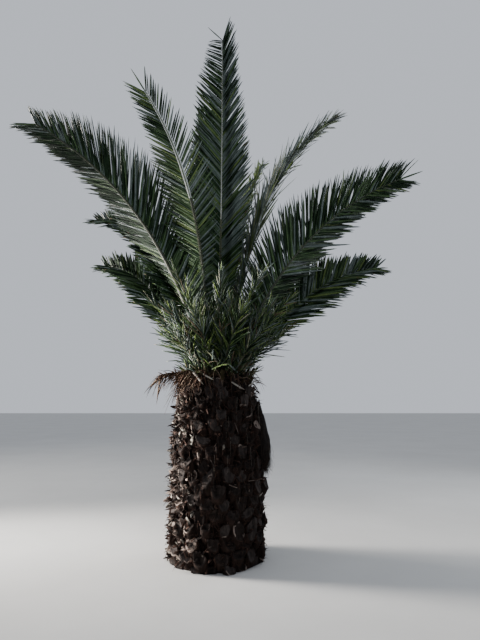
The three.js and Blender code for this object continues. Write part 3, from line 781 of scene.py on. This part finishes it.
# Younger cut stalks stand round the rim and lean out, up to the feet of the fronds
stubs = Batch()
for ring, height, number, lean, long in (
    (0.335, 1.660, 17, 62, 0.17), (0.290, 1.690, 15, 70, 0.20), (0.235, 1.725, 12, 78, 0.20),
    (0.17, 1.76, 9, 84, 0.18),
):
    turn = 2 * np.pi * (np.arange(number) + rng.uniform(-0.2, 0.2, number)) / number + ring * 9
    slope = np.radians(lean + rng.normal(0, 5, number))
    high = long * rng.uniform(0.55, 1.1, number)
    foot = np.stack([np.full(number, ring - 0.05), np.full(number, height - 0.06)], -1)
    end = foot + np.stack([np.cos(slope) * high, np.sin(slope) * high], -1)
    end[:, 0] = np.minimum(end[:, 0], 0.385)
    add_boots(stubs, turn, foot, end, slope + 0.05, rng.uniform(0.030, 0.055, number),
              rng.uniform(0.010, 0.018, number), slope - rng.uniform(0.0, 0.9, number),
              rng.normal(0, 0.3, number), rng.normal(0, 0.25, number), STALK, np.full(number, CUT))
stubs.finish("cut_stalks", BARK_SHADES)

# The core between the boots, up over the heart that the fronds grow from
CORE_AROUND = 180
CORE_RINGS = 116
HEART_RINGS = 16
PROFILE_STEPS = 40
steps = TRUNK_HEIGHT * np.arange(PROFILE_STEPS + 1) / PROFILE_STEPS
inside = trunk_radius(steps) - BOOT_DEPTH + 0.004
heart = np.array(HEART_PROFILE[1:-1])
heights = np.concatenate([
    np.linspace(0, TRUNK_HEIGHT, CORE_RINGS - HEART_RINGS),
    np.linspace(TRUNK_HEIGHT + 0.004, HEART_PROFILE[-2][1], HEART_RINGS),
])
radii = np.interp(heights, [*steps, *heart[:, 1]], [*inside, *heart[:, 0]])
skin = on_cylinder(radii[:, None], circle(CORE_AROUND)[None], heights[:, None])
relief = noise(skin * (1, 1, 0.25), 0.016) * 0.007 + noise(skin * (1, 1, 0.5), 0.05) * 0.010
relief[0] = 0
skin = skin * np.stack([1 + relief / radii[:, None]] * 2 + [np.ones_like(relief)], -1)
core = Batch()
points = np.concatenate([skin.reshape(-1, 3), [[0, 0, 0]], [[0, 0, HEART_PROFILE[-1][1]]]])
# Its near-black colour is partly the dark dead fibre, partly painted shade in the gaps between the boots
core.add(points[None], *closed_tube(CORE_RINGS, CORE_AROUND), HOLLOW_AND_SHADE)
core.finish("trunk_core", BARK_SHADES, ["trunk"])


# ---- Threads, rags and straps
def add_strands(batch, start, directions, length, thickness, droop, slot, rings=6, kink=0.1):
    """Tapered three-sided strands that start straight and sag."""
    n = len(start)
    s = np.linspace(0, 1, rings)
    side = unit(np.cross(directions, rng.normal(size=(n, 3))))
    other = np.cross(directions, side)
    bend = rng.normal(0, kink, (n, 2))
    along = s[None, :, None] * length[:, None, None]
    centre = start[:, None] + directions[:, None] * along
    centre = centre + side[:, None] * (bend[:, :1] * length[:, None] * s[None] ** 2)[..., None]
    centre = centre + other[:, None] * (bend[:, 1:] * length[:, None] * np.sin(s * np.pi)[None])[..., None]
    centre[..., 2] -= (droop * length)[:, None] * s[None] ** 2
    r = (thickness[:, None] / 2 * (1 - 0.75 * s[None] ** 2))[..., None]
    edges = [centre + (side[:, None] * math.cos(a) + other[:, None] * math.sin(a)) * r for a in circle(3)]
    points = np.stack(edges, 2).reshape(n, -1, 3)
    keep_above(points, FLOOR_CLEARANCE)
    last = (rings - 1) * 3
    triangles = np.array([[2, 1, 0], [last, last + 1, last + 2]])
    batch.add(points, tube_faces(rings, 3), triangles, slot)


def under_bark(angle, height, depths):
    """Places at random depths under the trunk's outer radius."""
    radius = trunk_radius(np.clip(height, 0, TRUNK_HEIGHT)) - rng.uniform(*depths, len(height))
    return on_cylinder(radius, angle, height)


def leaning(outward, outs, ups, scatter):
    """Directions that lean out and up by shares within two ranges."""
    n = len(outward)
    return unit(outward * rng.uniform(*outs, (n, 1)) + UP * rng.uniform(*ups, (n, 1))
                + rng.normal(0, scatter, (n, 3)))


def gathered(share, angle, spread, n):
    """Headings round the trunk, a share of them about one angle."""
    return np.where(rng.random(n) < share, rng.normal(angle, spread, n), rng.uniform(0, 2 * np.pi, n))


def rag_corners(outward, place, heading, facing, lengths, widths, droops, curls,
                fold_scale=1.0, seed=0, ripple=0.0):
    """Torn blades by the ranges of their measures, rippled outwards."""
    n = len(place)
    corners = blades(place, heading, square_to(facing, heading), rng.uniform(*lengths, n),
                     rng.uniform(*widths, n), rng.uniform(*droops, n), rng.normal(*curls, n),
                     fold_scale, COARSE_RINGS)
    corners = corners + noise(corners + seed, 0.014)[..., None] * outward[:, None] * ripple
    keep_above(corners, FLOOR_CLEARANCE)
    return corners


# Threads of the fibre between the old bases
fibres = Batch()
n = 2600
angle = rng.uniform(0, 2 * np.pi, n)
start = under_bark(angle, rng.uniform(0.04, 1.70, n), (0.02, 0.07))
heading = leaning(on_cylinder(1, angle, 0), (0.2, 0.9), (-0.4, 1.2), 0.35)
add_strands(fibres, start, heading, rng.uniform(0.03, 0.10, n), rng.uniform(0.0016, 0.0050, n),
            rng.uniform(0, 0.5, n), FIBRE, rings=5)
# Frayed ends round the cuts
n = 3400
pick, corner = rng.integers(0, len(boot_ways), n), rng.integers(0, BOOT_AROUND, n)
way = boot_ways[pick]
start = boot_rims[pick, corner] - way * rng.uniform(0.0, 0.05, (n, 1))
heading = unit(way + rng.normal(0, 0.40, (n, 3)) - UP * 0.25)
add_strands(fibres, start, heading, rng.uniform(0.015, 0.060, n), rng.uniform(0.0015, 0.0055, n),
            rng.uniform(0, 0.6, n), FIBRE, rings=4)
# Long threads that hang down over the cuts
for n, slot in ((22, STRAP), (60, FIBRE)):
    angle = np.radians(np.where(rng.random(n) < 0.6, rng.uniform(260, 350, n), rng.uniform(0, 360, n)))
    height = rng.uniform(0.95, 1.60, n)
    reach = trunk_radius(np.clip(height - 0.1, 0, TRUNK_HEIGHT)) + rng.uniform(-0.012, 0.004, n)
    heading = unit(rng.normal(0, 0.05, (n, 3)) * (1, 1, 0) - UP)
    add_strands(fibres, on_cylinder(reach, angle, height), heading, rng.uniform(0.06, 0.30, n),
                rng.uniform(0.0008, 0.0016, n), np.zeros(n), slot, rings=7, kink=0.04)

rags = Batch()
faces = blade_faces(COARSE_RINGS)
# Rags of fibre and torn skin between the old bases, most of them on the weathered side
n = 900
angle = gathered(0.5, math.pi * 1.02, 0.8, n)
place = under_bark(angle, rng.uniform(0.03, 1.66, n), (0.015, 0.055))
outward = on_cylinder(1, angle, 0)
heading = leaning(outward, (0.1, 0.8), (-0.7, 0.9), 0.45)
facing = unit(outward + rng.normal(0, 0.7, (n, 3)))
corners = rag_corners(outward, place, heading, facing, (0.035, 0.095), (0.006, 0.022), (0, 0.5), (0, 0.2))
tint = rng.choice([SKIN, FIBRE, CUT_GREY, CUT_PALE], n, p=[0.35, 0.45, 0.14, 0.06])
rags.add(corners, *faces, tint[:, None])
# Broad torn flakes that point up and out; more of them are pale at the left, the lit side, which is painted
# light
n = 640
angle = gathered(0.55, math.pi * 1.05, 0.7, n)
place = under_bark(angle, rng.uniform(0.02, 1.58, n), (0.030, 0.060))
outward = on_cylinder(1, angle, 0)
heading = leaning(outward, (0.5, 1.0), (0.1, 0.9), 0.25)
facing = unit(UP - outward * rng.uniform(0.2, 0.9, (n, 1)) + rng.normal(0, 0.35, (n, 3)))
corners = rag_corners(outward, place, heading, facing, (0.045, 0.085), (0.018, 0.046), (-0.2, 0.3),
                      (0.1, 0.25), fold_scale=1.5, seed=41, ripple=0.005)
flakes = [SKIN, FIBRE, CUT_GREY, CUT_PALE, STRAP]
tint = np.where(np.cos(angle) < -0.35, rng.choice(flakes, n, p=[0.24, 0.26, 0.30, 0.17, 0.03]),
                rng.choice(flakes, n, p=[0.36, 0.24, 0.26, 0.10, 0.04]))
rags.add(corners, *faces, tint[:, None])
# Broader ones that catch the light at the left as the camera sees it; their mostly pale tints are painted
# light
n = 120
angle = np.radians(rng.uniform(180, 240, n))
height = rng.uniform(0.05, 1.52, n)
outward = on_cylinder(1, angle, 0)
heading = leaning(outward, (0.25, 0.7), (0.1, 0.9), 0.30)
facing = unit(outward + (-0.5, 0, 0.3) + rng.normal(0, 0.30, (n, 3)))
corners = rag_corners(outward, under_bark(angle, height, (0.030, 0.050)), heading, facing, (0.060, 0.095),
                      (0.036, 0.062), (-0.1, 0.3), (0.1, 0.2), fold_scale=1.2, seed=53, ripple=0.006)
tint = rng.choice([CUT_GREY, CUT_PALE, STRAP, FIBRE], n, p=[0.28, 0.42, 0.12, 0.18])
rags.add(corners, *faces, tint[:, None])
rags.finish("trunk_rags", BARK_SHADES)

# Pale strips of old stalk that lie over the rim: heading and height of both ends, reach and width
straps = Batch()
for turn0, height0, turn1, height1, reach, wide_strap in (
    (237, 1.727, 254, 1.605, 0.400, 0.020), (253, 1.705, 267, 1.649, 0.408, 0.014),
    (290, 1.632, 309, 1.561, 0.412, 0.016), (204, 1.930, 238, 1.800, 0.290, 0.024),
    (120, 1.700, 104, 1.600, 0.402, 0.018), (62, 1.690, 44, 1.640, 0.404, 0.015),
    (318, 1.600, 338, 1.660, 0.405, 0.012), (176, 1.640, 160, 1.560, 0.410, 0.016),
    (20, 1.700, 4, 1.620, 0.400, 0.016),
):
    ends = on_cylinder(reach, np.radians([turn0, turn1]), [height0, height1])
    span = ends[1] - ends[0]
    outward = unit(ends.mean(0) * (1, 1, 0))
    corners = blades(ends[:1], unit(span)[None], outward[None], np.array([np.linalg.norm(span)]),
                     np.array([wide_strap]), np.zeros(1), np.array([0.05]), fold_scale=0.6)
    straps.add(corners, *blade_faces(LEAFLET_RINGS), STRAP)
straps.finish("rim_straps", BARK_SHADES)
fibres.finish("trunk_fibres", BARK_SHADES)

# ---- The sheet of dead fibre that hangs on the trunk's side
SHEET_ROWS = 60
SHEET_COLUMNS = 44
SHEET_EDGE = 2.6
low, high = FIBRE_HEIGHTS[0] - 0.01, FIBRE_HEIGHTS[-1]
v = np.linspace(0, 1, SHEET_ROWS)
w = np.linspace(-1, 1, SHEET_COLUMNS)
hang = low + (high - low) * v
bulge = np.interp(hang, FIBRE_HEIGHTS, FIBRE_BULGES) - 0.03 * smoothstep(hang, 1.38, 1.45)
half = np.radians(FIBRE_HALF_ANGLE) * np.interp(hang, FIBRE_HEIGHTS, FIBRE_WIDTH_SHARES)
turn = math.radians(FIBRE_HEADING) + half[:, None] * w[None]
front = trunk_radius(hang)[:, None] - 0.010 + (bulge[:, None] + 0.008) * (1 - np.abs(w[None]) ** SHEET_EDGE)
surface = on_cylinder(front, turn, hang[:, None])
pleat = noise(surface * (1, 1, 0.10) + 5, 0.018) * 0.007 + noise(surface + 9, 0.07) * 0.010
ragged = np.maximum(0, noise(np.stack([turn[0] * 9, turn[0] * 3, turn[0]], -1), 0.25)) * 0.05
hang_grid = hang[:, None] + (1 - v[:, None]) ** 3 * ragged[None]
outer = on_cylinder(front + np.minimum(pleat, 0.004), turn, hang_grid)
inner = on_cylinder(trunk_radius(hang)[:, None] - 0.06, turn, hang_grid)
around = SHEET_COLUMNS * 2
k = np.arange(SHEET_COLUMNS - 1)
bottom = np.stack([around - 1 - k, around - 2 - k, k + 1, k], 1)
top = bottom[:, ::-1] + (SHEET_ROWS - 1) * around
quads = np.concatenate([tube_faces(SHEET_ROWS, around), top, bottom])
sheet = Batch()
loop = np.concatenate([outer, inner[:, ::-1]], 1)
sheet.add(loop.reshape(1, -1, 3), quads, np.zeros((0, 3), int), SHEET)


def on_sheet(share, height, above, sunk):
    """Places just under the front of the sheet, by their share of its width at a height a little below."""
    width = np.interp(height - above, FIBRE_HEIGHTS, FIBRE_WIDTH_SHARES)
    spot = math.radians(FIBRE_HEADING) + np.radians(FIBRE_HALF_ANGLE) * share * width
    stands = np.interp(height, FIBRE_HEIGHTS, FIBRE_BULGES) * np.clip(1 - np.abs(share) ** SHEET_EDGE, 0, 1)
    return on_cylinder(trunk_radius(height) + stands - sunk, spot, height)


# Threads at its foot, and threads down its front
n = 260
share = rng.uniform(-1, 1, n)
height = low + np.abs(rng.normal(0, 0.05, n)) + 0.01
down = unit(rng.normal(0, 0.22, (n, 3)) - UP)
add_strands(sheet, on_sheet(share, height, 0, 0.006), down, rng.uniform(0.03, 0.13, n),
            rng.uniform(0.0015, 0.004, n), np.zeros(n), THREAD, kink=0.14)
n = 420
height = rng.uniform(low + 0.10, high + 0.03, n)
share = rng.uniform(-1.15, 1.15, n)
down = unit(rng.normal(0, 0.10, (n, 3)) * (1, 1, 0) - UP)
add_strands(sheet, on_sheet(share, height, 0.1, 0.002), down, rng.uniform(0.05, 0.22, n),
            rng.uniform(0.0015, 0.004, n), np.zeros(n), THREAD, kink=0.05)
sheet.finish("dead_fibre_sheet", DEAD_SHADES, ["hanging_fibre"])


# ---- The small dead frond at the rim
def add_dry_leaves(batch, start, direction, length, width, droop):
    n = len(start)
    normal = unit(np.cross(direction, rng.normal(size=(n, 3))))
    corners = blades(start, direction, normal, length, width, droop, rng.normal(0, 0.16, n), fold_scale=1.5)
    tint = np.where(rng.random(n) < 0.15, DRY_PALE, DRY)
    batch.add(corners, *blade_faces(LEAFLET_RINGS), tint[:, None])


dry = Frond(DRY_FROND, DRY_PETIOLE)
tuft = Batch()
n = 150
point, forward, up, across = dry.frame(rng.uniform(0.05, 1.0, n))
side = np.where(rng.random(n) < 0.5, -1, 1)
direction = unit(forward * rng.uniform(0.3, 1.0, (n, 1)) + across * (side * rng.uniform(0.1, 0.9, n))[:, None]
                 + up * rng.uniform(-0.3, 0.4, (n, 1)) + rng.normal(0, 0.2, (n, 3)))
add_dry_leaves(tuft, point, direction, dry.leaflet * rng.uniform(0.4, 1.0, n), rng.uniform(0.006, 0.016, n),
               rng.uniform(0.1, 0.9, n))
# Dry leaflets that hang over the rim, most of them on the same side
for n, turn, longest in (
    (230, np.radians(rng.normal(202, 24, 230)), 0.24), (170, rng.uniform(0, 2 * np.pi, 170), 0.14),
):
    start = on_cylinder(rng.uniform(0.24, 0.37, n), turn, rng.uniform(1.63, 1.75, n))
    way = on_cylinder(rng.uniform(0.6, 1.1, n), turn + rng.normal(0, 0.6, n), rng.uniform(-0.3, 0.7, n))
    add_dry_leaves(tuft, start, unit(way), longest * rng.uniform(0.35, 1.0, n), rng.uniform(0.005, 0.014, n),
                   rng.uniform(0.5, 1.3, n))
tuft.finish("dry_frond", DEAD_SHADES, ["dry_tuft"])

# ---- Stage, light and camera
FLOOR_HALF = 60
FLOOR_TOP = -0.001
floor_mesh = bpy.data.meshes.new("floor")
floor_corners = [(x * FLOOR_HALF, y * FLOOR_HALF, FLOOR_TOP) for x, y in ((-1, -1), (1, -1), (1, 1), (-1, 1))]
floor_mesh.from_pydata(floor_corners, [], [(0, 1, 2, 3)])
floor_mesh.materials.append(shade("floor_paint", (0.50, 0.50, 0.49), (0.56, 0.56, 0.55), 0.6, 0.85))
floor = placed("floor", floor_mesh)

world = bpy.data.worlds.new("studio")
bpy.context.scene.world = world
world.use_nodes = True
sky = world.node_tree
background = sky.nodes["Background"]
sky_place = new_node(sky, "TexCoord")
sky_side = new_node(sky, "VectorMath")
sky_side.operation = "DOT_PRODUCT"
sky_side.inputs[1].default_value = (-0.22, 0.62, 0.75)
sky_span = new_node(sky, "MapRange", From_Min=-1)
sky_ramp = new_node(sky, "ValToRGB")
sky_ramp.color_ramp.interpolation = "EASE"
set_stops(sky_ramp, (0.22, (0.15, 0.16, 0.18)), (0.70, (0.86, 0.91, 1.0)))
for source, target in (
    (sky_place.outputs["Generated"], sky_side.inputs[0]),
    (sky_side.outputs["Value"], sky_span.inputs["Value"]),
    (sky_span.outputs["Result"], sky_ramp.inputs["Fac"]),
    (sky_ramp.outputs["Color"], background.inputs["Color"]),
):
    sky.links.new(source, target)
background.inputs["Strength"].default_value = 0.72


def area_light(name, place, target, size, power, colour, spread=180):
    data = bpy.data.lights.new(name, "AREA")
    data.shape = "DISK"
    data.size = size
    data.energy = power
    data.color = colour
    data.spread = math.radians(spread)
    lamp = placed(name, data)
    lamp.location = place
    aim = np.array(target, float) - np.array(place, float)
    yaw = math.atan2(aim[1], aim[0])
    pitch = math.atan2(aim[2], math.hypot(aim[0], aim[1]))
    lamp.rotation_euler = (math.pi / 2 + pitch, 0, yaw - math.pi / 2)


area_light("key", (-8.6, 2.8, 6.9), (0, 0, 1.6), 1.4, 530, (1.0, 0.95, 0.88))
area_light("low", (-6.8, 1.2, 1.7), (0, 0, 0.95), 1.6, 275, (1.0, 0.95, 0.89), spread=52)
area_light("side", (5.5, 4.2, 4.5), (0, 0, 1.8), 3.0, 140, (0.94, 0.97, 1.0))
area_light("fill", (2.0, -6.0, 7.5), (0, 0, 3.9), 3.0, 9, (0.92, 0.96, 1.0), spread=30)

PHOTO_FOCAL = 480
PHOTO_LONG_SIDE = 640
SENSOR = 36
EYE = (0.22, -4.84, 1.45)
EYE_RISE = 9.7
camera_data = bpy.data.cameras.new("camera")
camera_data.sensor_width = SENSOR
camera_data.lens = SENSOR * PHOTO_FOCAL / PHOTO_LONG_SIDE
camera_data.clip_end = 200
camera = placed("camera", camera_data)
camera.location = EYE
camera.rotation_euler = (math.radians(90 + EYE_RISE), 0, 0)
bpy.context.scene.camera = camera
